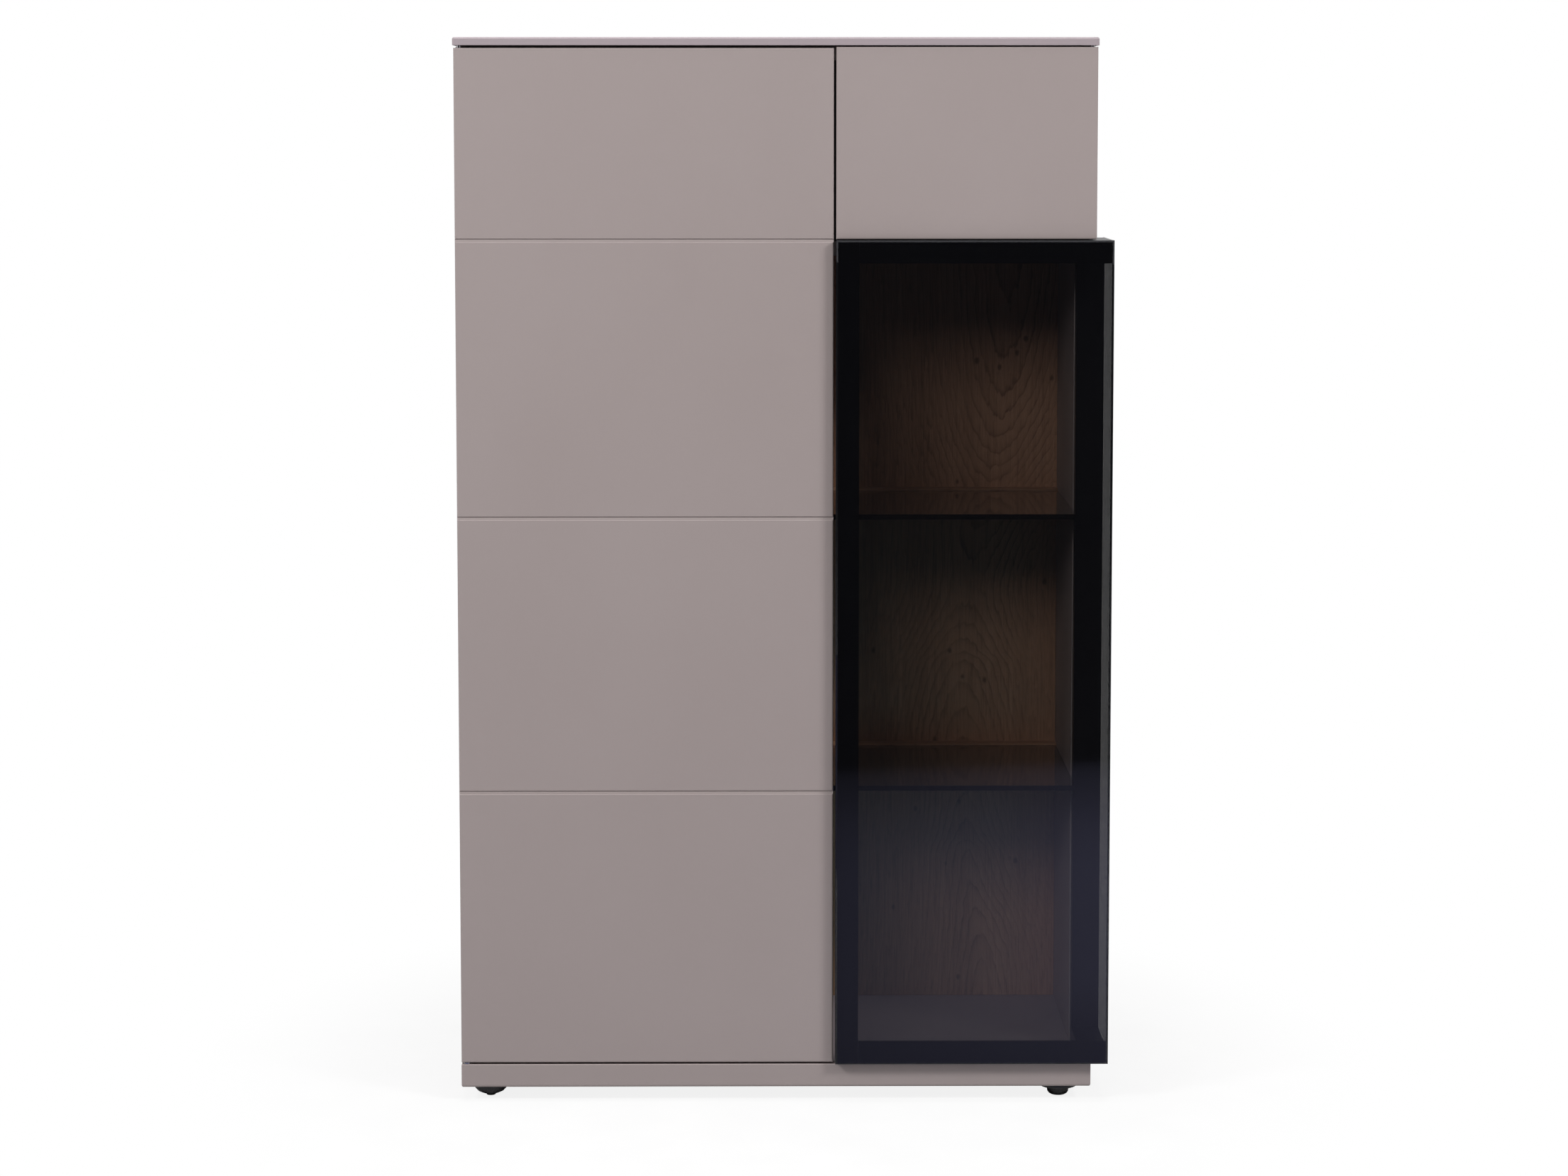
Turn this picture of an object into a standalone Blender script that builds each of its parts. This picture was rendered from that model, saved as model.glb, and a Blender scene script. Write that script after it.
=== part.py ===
# Highboard: a tall lacquered cabinet with a tall door, a small upper door and a glass corner vitrine.
# Metres, +Z up. +X is to the right as seen from the front, and the front looks towards -Y.
# The origin is on the floor, under the centre of the whole outline.

import math

import bmesh
import bpy
from mathutils import Matrix, Vector

# Driving sizes of the body
body_width = 0.960
body_depth = 0.420
row_height = 0.418
top_row_height = 0.286
lower_rows = 3
left_door_width = 0.5663
base_thickness = 0.0359
plate_thickness = 0.012
plate_overhang = 0.0015
panel_thickness = 0.022
board_thickness = 0.022
front_thickness = 0.019
shelf_thickness = 0.019
back_panel_thickness = 0.008
back_recess = 0.031

# Joints and clearances
fit_gap = 0.0003
front_gap = 0.0028
plate_gap = 0.004
upper_plate_gap = 0.0024
column_gap = 0.0036
closing_gap = 0.002
edge_reveal = 0.001
divider_drop = 0.002
cutter_overrun = 0.004

# Edges and grooves of the lacquered boards
edge_radius = 0.0022
corner_radius = 0.0022
plate_edge_radius = 0.003
base_edge_radius = 0.004
neck_chamfer = 0.0042
board_edge_radius = 0.0008
groove_depth = 0.0021
groove_step_depth = 0.0012
groove_wall_height = 0.0021
groove_slope_height = 0.0024
groove_step_height = 0.0009
groove_lip_height = 0.0011
groove_drop = 0.0004

# Glass corner door
pane_proud = 0.015
wing_proud = 0.025
pane_thickness = 0.005
side_pane_thickness = 0.003
seam_thickness = 0.001
pane_chamfer = 0.0026
pane_rise = 0.0002
border_width = 0.0345
wing_window_depth = 0.1107
upright_depth = 0.020
ledge_height = 0.0258
ledge_gap = 0.0015
bottom_rail_depth = 0.006
pane_tail = 0.006

# Hinges of the glass corner door
hinge_count = 3
hinge_gap = 0.004
hinge_offset = 0.0105
hinge_end_distance = 0.120
knuckle_radius = 0.004
knuckle_height = 0.030
hinge_pin_radius = 0.002
hinge_pin_height = 0.024
leaf_width = 0.016
leaf_thickness = 0.0013
pocket_clearance = 0.0007

# Pivots of the two lacquered doors
pivot_inset = 0.008
pivot_setback = 0.0065
pivot_radius = 0.003
pivot_reach = 0.014
plate_pivot_reach = 0.008
collar_radius = 0.0055
heel_chamfer = 0.0025
upper_front_rise = 0.0012
bracket_thickness = 0.002
bracket_half_width = 0.004
bracket_length = 0.070
bracket_clearance = 0.001
bracket_turn_gap = 0.0007

# Push latches, sunk in the front edges of the boards
latch_radius = 0.005
latch_length = 0.045
latch_floor = 0.004
plunger_radius = 0.003
plunger_tip_radius = 0.002
plunger_end_gap = 0.001
latch_inset = 0.030
upper_latch_drop = 0.008

# Shelves, rails and pins
shelf_setback = 0.018
shelf_side_gap = 0.001
glass_shelf_thickness = 0.008
glass_shelf_setback = 0.024
glass_shelf_side_gap = 0.0006
rail_depth = 0.022
rail_lip = 0.003
rail_slot_depth = 0.010
pin_radius = 0.0024
pin_hole_depth = 0.009
pin_end_gap = 0.001
pin_head_radius = 0.0036
pin_head_length = 0.009
pin_front_distance = 0.070
pin_back_distance = 0.060
vitrine_pin_distance = 0.030
pin_hole_pitch = 0.032
pin_holes_each_way = 2

# Levelling feet
foot_height = 0.0213
foot_left_inset = 0.0416
foot_right_inset = 0.0466
foot_depth_inset = 0.0366
left_dome_height = 0.018
left_dome_radius = 0.0262
left_dome_rim = 0.003
left_dome_neck_radius = 0.006
left_glide_radius = 0.0075
left_glide_sole_radius = 0.006
right_dome_height = 0.0072
right_dome_radius = 0.031
right_dome_rim = 0.0038
right_dome_neck_radius = 0.0255
right_glide_radius = 0.0165
right_glide_sole_radius = 0.0098
stem_radius = 0.004
stem_clearance = 0.0004
stem_end_gap = 0.0053
socket_depth = 0.022

# Roundness of turned pieces and of rounded edges
foot_sides = 32
pin_sides = 16
hole_sides = 12
edge_steps = 3
round_profile_share = 0.5

# Outline planes
overall_width = plate_overhang + body_width + wing_proud
overall_depth = pane_proud + body_depth
body_left = plate_overhang - overall_width / 2
body_right = body_left + body_width
front_face = pane_proud - overall_depth / 2
back_face = front_face + body_depth
base_bottom = foot_height
base_top = base_bottom + base_thickness
fronts_bottom = base_top + front_gap
vitrine_line = fronts_bottom + lower_rows * row_height
fronts_top = vitrine_line + top_row_height
plate_bottom = fronts_top + plate_gap
plate_top = plate_bottom + plate_thickness
upper_front_top = plate_bottom - upper_plate_gap

# Planes of the carcass
front_back = front_face + front_thickness
carcass_front = front_back + closing_gap
left_inner = body_left + panel_thickness
right_inner = body_right - panel_thickness
left_door_right = body_left + left_door_width
right_column_left = left_door_right + column_gap
partition_right = left_door_right - edge_reveal
partition_left = partition_right - panel_thickness
partition_middle = (partition_left + partition_right) / 2
top_board_bottom = plate_bottom - board_thickness
divider_top = vitrine_line - divider_drop
divider_bottom = divider_top - board_thickness
back_panel_front = back_face - back_recess - back_panel_thickness
board_back = back_panel_front - fit_gap

# Planes of the glass corner door
glass_front = front_face - pane_proud
glass_back = glass_front + pane_thickness
glass_right = body_right + wing_proud
side_pane_inner = glass_right - side_pane_thickness
glass_bottom = fronts_bottom
glass_top = vitrine_line + pane_rise
frame_front = glass_back + fit_gap
frame_back = front_back
bottom_rail_back = frame_front + bottom_rail_depth
ledge_left = right_inner + ledge_gap
upright_front = glass_front + wing_window_depth
upright_back = upright_front + upright_depth
recess_front = upright_back + hinge_gap
hinge_x = body_right + hinge_offset
hinge_y = upright_back + hinge_gap / 2

# Pivot axes and the bracket under the upper door
left_pivot_x = body_left + pivot_inset
upper_pivot_x = body_right - pivot_inset
pivot_y = front_face + pivot_setback
upper_front_bottom = vitrine_line + upper_front_rise
bracket_bottom = upper_front_bottom
bracket_top = bracket_bottom + bracket_thickness
nose_bottom = bracket_top + fit_gap


def row_line(number):
    """Height of the joint line above the given row, counted from the bottom."""
    return fronts_bottom + number * row_height


def clear_scene():
    for item in list(bpy.data.objects):
        bpy.data.objects.remove(item, do_unlink=True)


def make_material(name, colour, roughness, metallic=0.0, alpha=1.0):
    made = bpy.data.materials.new(name)
    made.use_nodes = True
    made.diffuse_color = (*colour, alpha)
    shader = made.node_tree.nodes["Principled BSDF"]
    shader.inputs["Base Color"].default_value = (*colour, 1.0)
    shader.inputs["Roughness"].default_value = roughness
    shader.inputs["Metallic"].default_value = metallic
    shader.inputs["Alpha"].default_value = alpha
    return made


def box_mesh(low, high):
    """A closed box between two corners."""
    mesh = bmesh.new()
    bmesh.ops.create_cube(mesh, size=1.0)
    size = Vector(high) - Vector(low)
    middle = (Vector(high) + Vector(low)) / 2
    bmesh.ops.scale(mesh, vec=size, verts=mesh.verts)
    bmesh.ops.translate(mesh, vec=middle, verts=mesh.verts)
    return mesh


def prism_mesh(outline, axis, start, end):
    """An outline drawn across an axis (0, 1 or 2), extruded along it from start to end."""
    mesh = bmesh.new()
    rings = []
    for along in (start, end):
        ring = []
        for first, second in outline:
            place = [first, second]
            place.insert(axis, along)
            ring.append(mesh.verts.new(place))
        rings.append(ring)
    mesh.faces.new(rings[0])
    mesh.faces.new(rings[1])
    count = len(outline)
    for index in range(count):
        after = (index + 1) % count
        mesh.faces.new((rings[0][index], rings[0][after], rings[1][after], rings[1][index]))
    bmesh.ops.recalc_face_normals(mesh, faces=mesh.faces)
    return mesh


def turned_mesh(profile, foot, direction, sides):
    """A turned piece. The profile holds (radius, distance along the axis) and closes on the axis,
    or on itself where it never meets the axis."""
    mesh = bmesh.new()
    turn = Vector((0, 0, 1)).rotation_difference(Vector(direction)).to_matrix().to_4x4()
    rings = []
    for radius, along in profile:
        if radius == 0:
            rings.append([mesh.verts.new((0, 0, along))])
            continue
        ring = []
        for side in range(sides):
            angle = math.tau * side / sides
            ring.append(mesh.verts.new((radius * math.cos(angle), radius * math.sin(angle), along)))
        rings.append(ring)
    closed = len(rings[0]) > 1 and len(rings[-1]) > 1
    pairs = list(zip(rings, rings[1:]))
    if closed:
        pairs.append((rings[-1], rings[0]))
    for lower, upper in pairs:
        for side in range(sides):
            after = (side + 1) % sides
            corners = [lower[side % len(lower)], lower[after % len(lower)]]
            corners += [upper[after % len(upper)], upper[side % len(upper)]]
            kept = []
            for corner in corners:
                if corner not in kept:
                    kept.append(corner)
            mesh.faces.new(kept)
    bmesh.ops.recalc_face_normals(mesh, faces=mesh.faces)
    bmesh.ops.transform(mesh, matrix=Matrix.Translation(foot) @ turn, verts=mesh.verts)
    return mesh


def soften(mesh, chosen, width, steps):
    """Rounds, or with one step chamfers, the edges whose two ends are both chosen."""
    edges = [edge for edge in mesh.edges if chosen(edge.verts[0].co) and chosen(edge.verts[1].co)]
    share = round_profile_share
    bmesh.ops.bevel(mesh, geom=edges, offset=width, segments=steps, profile=share, affect="EDGES")


def near(first, second):
    return abs(first - second) < fit_gap / 2


def add_node(name, mesh, material):
    """Makes one named object from a mesh that stands at its place."""
    data = bpy.data.meshes.new(name)
    mesh.to_mesh(data)
    mesh.free()
    made = bpy.data.objects.new(name, data)
    bpy.context.collection.objects.link(made)
    made.data.materials.append(material)
    return made


def gather(meshes):
    """One mesh of several that stand apart."""
    whole = bmesh.new()
    for mesh in meshes:
        data = bpy.data.meshes.new("piece")
        mesh.to_mesh(data)
        mesh.free()
        whole.from_mesh(data)
        bpy.data.meshes.remove(data)
    return whole


def combine(node, tools, operation):
    """Cuts the tools, which stand apart, out of a node, or joins them to it."""
    material = node.data.materials[0]
    helper = add_node("helper", gather(tools), material)
    step = node.modifiers.new("shape", "BOOLEAN")
    step.operation = operation
    step.solver = "EXACT"
    step.object = helper
    bpy.context.view_layer.update()
    graph = bpy.context.evaluated_depsgraph_get()
    shaped = bpy.data.meshes.new_from_object(node.evaluated_get(graph))
    node.modifiers.remove(step)
    node.data = shaped
    bpy.data.objects.remove(helper, do_unlink=True)
    node.data.materials.clear()
    node.data.materials.append(material)


def set_origin(node, place):
    """Moves the origin of a moving piece onto its joint's axis."""
    node.data.transform(Matrix.Translation(-Vector(place)))
    node.location = place


def smooth_round(node):
    node.data.shade_smooth()
    node.data.set_sharp_from_angle(angle=math.radians(35))


def round_front_edges(mesh, depth):
    """Rounds the four edges round a front that lies in the plane of the given depth."""
    soften(mesh, lambda place: near(place.y, depth), edge_radius, edge_steps)


def board(name, low, high, material):
    """A plain board with its front edge just broken."""
    mesh = box_mesh(low, high)
    soften(mesh, lambda place: near(place.y, low[1]), board_edge_radius, 1)
    return add_node(name, mesh, material)


def hole(radius, depth, mouth, direction):
    """A blind hole that runs into a piece from its mouth."""
    profile = ((0, -cutter_overrun), (radius, -cutter_overrun), (radius, depth), (0, depth))
    return turned_mesh(profile, mouth, direction, hole_sides)


def make_top_plate(material):
    low = (body_left - plate_overhang, front_face - plate_overhang, plate_bottom)
    high = (body_right + plate_overhang, back_face, plate_top)
    mesh = box_mesh(low, high)
    upright_edges = lambda place: near(place.y, low[1])
    soften(mesh, lambda place: upright_edges(place) and near(place.x, low[0]), corner_radius, edge_steps)
    soften(mesh, lambda place: upright_edges(place) and near(place.x, high[0]), corner_radius, edge_steps)
    soften(mesh, lambda place: near(place.z, high[2]), plate_edge_radius, edge_steps)
    node = add_node("top_plate", mesh, material)
    mouths = [(pivot_x, pivot_y, plate_bottom) for pivot_x in (left_pivot_x, upper_pivot_x)]
    bores = [hole(pivot_radius + fit_gap, plate_pivot_reach, mouth, (0, 0, 1)) for mouth in mouths]
    combine(node, bores, "DIFFERENCE")


def foot_places():
    for x in (body_left + foot_left_inset, body_right - foot_right_inset):
        for y in (front_face + foot_depth_inset, back_face - foot_depth_inset):
            yield x, y


def make_base_plate(material):
    low = (body_left, front_face, base_bottom)
    high = (body_right, back_face, base_top)
    mesh = box_mesh(low, high)
    soften(mesh, lambda place: near(place.z, low[2]), base_edge_radius, edge_steps)
    soften(mesh, lambda place: near(place.z, high[2]), board_edge_radius, 1)
    node = add_node("base_plate", mesh, material)
    bores = [hole(pivot_radius + fit_gap, pivot_reach, (left_pivot_x, pivot_y, base_top), (0, 0, -1))]
    for x, y in foot_places():
        bores.append(hole(stem_radius + stem_clearance, socket_depth, (x, y, base_bottom), (0, 0, 1)))
    combine(node, bores, "DIFFERENCE")


def pin_rows():
    """Depths of the front and back pins of the wooden shelf."""
    return carcass_front + pin_front_distance, board_back - pin_back_distance


def adjustable_shelf_top():
    return row_line(lower_rows)


def pin_height():
    """Height of the pins' middle under the adjustable shelf."""
    return adjustable_shelf_top() - shelf_thickness - fit_gap - pin_head_radius


def glass_pin_height(number):
    """Height of the pins' middle under the glass shelf on the given row line."""
    return row_line(number) - glass_shelf_thickness - fit_gap - pin_head_radius


def shelf_pin_holes(face, direction):
    """The column of holes round each pin of the adjustable shelf, in one side of its compartment."""
    holes = []
    for y in pin_rows():
        for step in range(-pin_holes_each_way, pin_holes_each_way + 1):
            mouth = (face, y, pin_height() + step * pin_hole_pitch)
            holes.append(hole(pin_radius + fit_gap, pin_hole_depth, mouth, direction))
    return holes


def vitrine_pin_holes(face, direction):
    """The holes of the pins under the glass shelves, in one side of the vitrine."""
    holes = []
    for number in range(1, lower_rows):
        mouth = (face, recess_front + vitrine_pin_distance, glass_pin_height(number))
        holes.append(hole(pin_radius + fit_gap, pin_hole_depth, mouth, direction))
    return holes


def make_left_side_panel(material):
    low = (body_left, carcass_front, base_top + fit_gap)
    high = (left_inner, back_face, plate_bottom - fit_gap)
    mesh = box_mesh(low, high)
    soften(mesh, lambda place: near(place.z, high[2]) and near(place.x, low[0]), neck_chamfer, 1)
    node = add_node("left_side_panel", mesh, material)
    combine(node, shelf_pin_holes(left_inner, (-1, 0, 0)), "DIFFERENCE")


def make_right_side_panel(material):
    """The right side reaches the front over the vitrine, and stands back beside the glass corner."""
    low = base_top + fit_gap
    high = plate_bottom - fit_gap
    outline = (
        (recess_front, low),
        (back_face, low),
        (back_face, high),
        (carcass_front, high),
        (carcass_front, nose_bottom),
        (recess_front, nose_bottom),
    )
    mesh = prism_mesh(outline, 0, right_inner, body_right)
    soften(mesh, lambda place: near(place.z, high) and near(place.x, body_right), neck_chamfer, 1)
    node = add_node("right_side_panel", mesh, material)
    combine(node, vitrine_pin_holes(right_inner, (1, 0, 0)), "DIFFERENCE")


def latch_places():
    """Name, x and height of each push latch: in the partition, the top board and the divider."""
    yield "left_door", partition_middle, (fronts_bottom + fronts_top) / 2
    yield "upper_door", right_column_left + latch_inset, fronts_top - upper_latch_drop
    yield "glass_door", right_column_left + latch_inset, (divider_bottom + divider_top) / 2


def latch_bore(owner):
    """The bore of one latch, in the front edge of the board that holds it."""
    for name, x, z in latch_places():
        if name == owner:
            return hole(latch_radius + fit_gap, latch_length + fit_gap, (x, carcass_front, z), (0, 1, 0))


def make_partition(material):
    low = (partition_left, carcass_front, base_top + fit_gap)
    high = (partition_right, board_back, top_board_bottom - fit_gap)
    node = board("partition", low, high, material)
    holes = shelf_pin_holes(partition_left, (1, 0, 0)) + vitrine_pin_holes(partition_right, (-1, 0, 0))
    combine(node, holes + [latch_bore("left_door")], "DIFFERENCE")


def make_carcass_boards(material):
    low = (left_inner + fit_gap, carcass_front, top_board_bottom)
    high = (right_inner - fit_gap, board_back, plate_bottom - fit_gap)
    top_board = board("carcass_top_board", low, high, material)
    combine(top_board, [latch_bore("upper_door")], "DIFFERENCE")
    low = (partition_right + fit_gap, carcass_front, divider_bottom)
    high = (right_inner - fit_gap, board_back, divider_top)
    divider = board("divider_board", low, high, material)
    combine(divider, [latch_bore("glass_door")], "DIFFERENCE")


def make_back_panels(lacquer, oak):
    """Three back panels. The two on the right meet behind the divider."""
    depth = (back_panel_front, back_panel_front + back_panel_thickness)
    seam = (divider_bottom + divider_top) / 2
    seat = base_top + fit_gap
    head = plate_bottom - fit_gap
    meeting = partition_middle
    places = (
        ("left_back_panel", left_inner + fit_gap, meeting - fit_gap, seat, head, lacquer),
        ("upper_right_back_panel", meeting, right_inner - fit_gap, seam, head, lacquer),
        ("vitrine_back_panel", meeting, right_inner - fit_gap, seat, seam - fit_gap, oak),
    )
    for name, left, right, bottom, top, material in places:
        add_node(name, box_mesh((left, depth[0], bottom), (right, depth[1], top)), material)


def make_wooden_shelves(material):
    """Two fixed shelves, and one on pins with a little side play."""
    names = ("lower_shelf", "middle_shelf", "adjustable_shelf")
    for number, name in enumerate(names, start=1):
        side_gap = shelf_side_gap if number == lower_rows else fit_gap
        top = row_line(number)
        low = (left_inner + side_gap, carcass_front + shelf_setback, top - shelf_thickness)
        high = (partition_left - side_gap, board_back, top)
        board(name, low, high, material)


def make_glass_shelf(number, name, glass):
    top = row_line(number)
    back = board_back - rail_depth + rail_slot_depth - fit_gap
    low = (partition_right + glass_shelf_side_gap, carcass_front + glass_shelf_setback,
           top - glass_shelf_thickness)
    high = (right_inner - glass_shelf_side_gap, back, top)
    mesh = box_mesh(low, high)
    soften(mesh, lambda place: near(place.y, low[1]), board_edge_radius, 1)
    add_node(name, mesh, glass)


def make_shelf_rail(number, name, oak):
    """An oak rail on the back panel with a slot for the glass shelf's back edge."""
    top = row_line(number)
    front = board_back - rail_depth
    slot_top = top + fit_gap
    slot_bottom = top - glass_shelf_thickness - fit_gap
    outline = (
        (board_back, slot_bottom - rail_lip),
        (board_back, slot_top + rail_lip),
        (front, slot_top + rail_lip),
        (front, slot_top),
        (front + rail_slot_depth, slot_top),
        (front + rail_slot_depth, slot_bottom),
        (front, slot_bottom),
        (front, slot_bottom - rail_lip),
    )
    mesh = prism_mesh(outline, 0, partition_right + fit_gap, right_inner - fit_gap)
    add_node(name, mesh, oak)


def make_pin(name, face, y, z, inward, metal):
    """A shelf pin: a shank in the panel, and a thicker head that carries the shelf."""
    sunk_length = pin_hole_depth - pin_end_gap
    profile = (
        (0, -sunk_length),
        (pin_radius, -sunk_length),
        (pin_radius, fit_gap),
        (pin_head_radius, fit_gap),
        (pin_head_radius, pin_head_length),
        (0, pin_head_length),
    )
    node = add_node(name, turned_mesh(profile, (face, y, z), (inward, 0, 0), pin_sides), metal)
    smooth_round(node)


def make_pins(metal):
    front, back = pin_rows()
    for side, face, inward in (("left", left_inner, 1), ("right", partition_left, -1)):
        for place, y in (("front", front), ("back", back)):
            make_pin(f"shelf_pin_{side}_{place}", face, y, pin_height(), inward, metal)
    y = recess_front + vitrine_pin_distance
    for number, level in enumerate(("lower", "upper"), start=1):
        for side, face, inward in (("left", partition_right, 1), ("right", right_inner, -1)):
            make_pin(f"glass_shelf_pin_{level}_{side}", face, y, glass_pin_height(number), inward, metal)


def groove_cutter(number):
    """The groove on one row line: an upper wall, a sloping floor, a small step and a lip."""
    heights = (groove_wall_height, groove_slope_height, groove_step_height, groove_lip_height)
    depths = (0, groove_depth, groove_step_depth, groove_step_depth, 0)
    level = row_line(number) - groove_drop + sum(heights) / 2
    outline = [(front_face - cutter_overrun, level)]
    for depth, height in zip(depths, (*heights, 0)):
        outline.append((front_face + depth, level))
        level -= height
    outline.append((front_face - cutter_overrun, level))
    return prism_mesh(outline, 0, body_left - cutter_overrun, left_door_right + cutter_overrun)


def make_left_door(material):
    low = (body_left, front_face, fronts_bottom)
    high = (left_door_right, front_back, fronts_top)
    mesh = box_mesh(low, high)
    soften(mesh, lambda place: near(place.x, low[0]) and near(place.y, high[1]), heel_chamfer, 1)
    round_front_edges(mesh, front_face)
    node = add_node("left_door_panel", mesh, material)
    tools = [groove_cutter(number) for number in range(1, lower_rows + 1)]
    radius = pivot_radius + fit_gap
    tools.append(hole(radius, pivot_reach + fit_gap, (left_pivot_x, pivot_y, fronts_bottom), (0, 0, 1)))
    tools.append(hole(radius, pivot_reach + fit_gap, (left_pivot_x, pivot_y, fronts_top), (0, 0, -1)))
    combine(node, tools, "DIFFERENCE")
    set_origin(node, (left_pivot_x, pivot_y, fronts_bottom))


def make_upper_door(material):
    low = (right_column_left, front_face, upper_front_bottom)
    high = (body_right, front_back, upper_front_top)
    mesh = box_mesh(low, high)
    soften(mesh, lambda place: near(place.x, high[0]) and near(place.y, high[1]), heel_chamfer, 1)
    round_front_edges(mesh, front_face)
    node = add_node("upper_door_panel", mesh, material)
    radius = pivot_radius + fit_gap
    reach = pivot_reach + fit_gap
    clear = bracket_half_width + bracket_clearance
    recess_low = (upper_pivot_x - clear, pivot_y - clear, upper_front_bottom - cutter_overrun)
    recess_high = (body_right + cutter_overrun, front_back + cutter_overrun, bracket_top + bracket_turn_gap)
    combine(node, [box_mesh(recess_low, recess_high)], "DIFFERENCE")
    bores = [
        hole(radius, reach, (upper_pivot_x, pivot_y, upper_front_top), (0, 0, -1)),
        hole(radius, reach, (upper_pivot_x, pivot_y, bracket_top), (0, 0, 1)),
    ]
    combine(node, bores, "DIFFERENCE")
    set_origin(node, (upper_pivot_x, pivot_y, upper_front_bottom))


def make_pivots(metal):
    """The pins that carry the doors: one with a collar in the base, and two in the top plate."""
    collar_low = base_top + fit_gap
    collar_high = fronts_bottom - fit_gap
    profile = (
        (0, base_top - pivot_reach + fit_gap),
        (pivot_radius, base_top - pivot_reach + fit_gap),
        (pivot_radius, collar_low),
        (collar_radius, collar_low),
        (collar_radius, collar_high),
        (pivot_radius, collar_high),
        (pivot_radius, fronts_bottom + pivot_reach),
        (0, fronts_bottom + pivot_reach),
    )
    foot = (left_pivot_x, pivot_y, 0)
    node = add_node("left_door_lower_pivot", turned_mesh(profile, foot, (0, 0, 1), pin_sides), metal)
    smooth_round(node)
    for door, pivot_x, top in (("left", left_pivot_x, fronts_top), ("upper", upper_pivot_x, upper_front_top)):
        low = top - pivot_reach
        high = plate_bottom + plate_pivot_reach - fit_gap
        profile = ((0, low), (pivot_radius, low), (pivot_radius, high), (0, high))
        pin = turned_mesh(profile, (pivot_x, pivot_y, 0), (0, 0, 1), pin_sides)
        smooth_round(add_node(f"{door}_door_upper_pivot", pin, metal))


def make_pivot_bracket(metal):
    """A flat steel tongue under the side panel's nose, with a round end and a pin for the upper door."""
    back = pivot_y + bracket_length
    outline = [(upper_pivot_x + bracket_half_width, back), (upper_pivot_x - bracket_half_width, back)]
    steps = pin_sides // 2
    for step in range(steps + 1):
        angle = math.pi + math.pi * step / steps
        x = upper_pivot_x + bracket_half_width * math.cos(angle)
        outline.append((x, pivot_y + bracket_half_width * math.sin(angle)))
    node = add_node("upper_door_lower_bracket", prism_mesh(outline, 2, bracket_bottom, bracket_top), metal)
    low = (bracket_bottom + bracket_top) / 2
    high = bracket_top + pivot_reach
    profile = ((0, low), (pivot_radius, low), (pivot_radius, high), (0, high))
    pin = turned_mesh(profile, (upper_pivot_x, pivot_y, 0), (0, 0, 1), pin_sides)
    combine(node, [pin], "UNION")


def hinge_heights():
    """Heights of the lift-off hinges' middles, spread evenly between the end ones."""
    first = glass_bottom + hinge_end_distance
    last = vitrine_line - hinge_end_distance
    for number in range(hinge_count):
        yield first + (last - first) * number / (hinge_count - 1)


def make_glass_frame(black):
    inner_left = glass_left_stile_right()
    side_limit = side_pane_inner - fit_gap
    low = (right_column_left, frame_front, glass_bottom)
    high = (inner_left, frame_back, glass_top)
    stile = add_node("glass_door_left_stile", box_mesh(low, high), black)
    low = (inner_left + fit_gap, frame_front, glass_top - border_width)
    top_rail = add_node("glass_door_top_rail", box_mesh(low, (side_limit, frame_back, glass_top)), black)
    low = (inner_left + fit_gap, frame_front, glass_bottom)
    high = (side_limit, bottom_rail_back, glass_bottom + border_width)
    bottom_rail = add_node("glass_door_bottom_rail", box_mesh(low, high), black)
    return [stile, top_rail, bottom_rail]


def glass_left_stile_right():
    return right_column_left + border_width


def make_glass_wing(black):
    """The black ledges and upright that close the corner behind the side pane."""
    ledges = []
    bottoms = (("bottom", glass_bottom, bottom_rail_back), ("top", vitrine_line - ledge_height, frame_back))
    for level, bottom, rail_back in bottoms:
        low = (ledge_left, rail_back + fit_gap, bottom)
        high = (side_pane_inner - fit_gap, upright_front - fit_gap, bottom + ledge_height)
        ledges.append(add_node(f"glass_door_{level}_ledge", box_mesh(low, high), black))
    low = (ledge_left, upright_front, glass_bottom)
    high = (side_pane_inner - fit_gap, upright_back, vitrine_line)
    upright = add_node("glass_door_upright", box_mesh(low, high), black)
    clear = knuckle_radius + pocket_clearance
    pockets = []
    for z in hinge_heights():
        pocket_low = (hinge_x - clear, hinge_y - clear, z - knuckle_height - pocket_clearance)
        pocket_high = (hinge_x + clear, hinge_y, z + knuckle_height + pocket_clearance)
        pockets.append(box_mesh(pocket_low, pocket_high))
    combine(upright, pockets, "DIFFERENCE")
    return [*ledges, upright]


def make_panes(glass):
    low = (right_column_left, glass_front, glass_bottom)
    mesh = box_mesh(low, (glass_right, glass_back, glass_top))
    soften(mesh, lambda place: near(place.y, glass_front), pane_chamfer, 1)
    front = add_node("glass_door_front_pane", mesh, glass)
    low = (side_pane_inner, frame_front + seam_thickness + fit_gap, glass_bottom)
    high = (glass_right, hinge_y + pane_tail, glass_top)
    side = add_node("glass_door_side_pane", box_mesh(low, high), glass)
    return [front, side]


def make_corner_seam(plastic):
    """The black bonded strip between the two panes, down the whole corner."""
    low = (side_pane_inner, frame_front, glass_bottom)
    high = (glass_right, frame_front + seam_thickness, glass_top)
    return add_node("glass_door_corner_seam", box_mesh(low, high), plastic)


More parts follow.
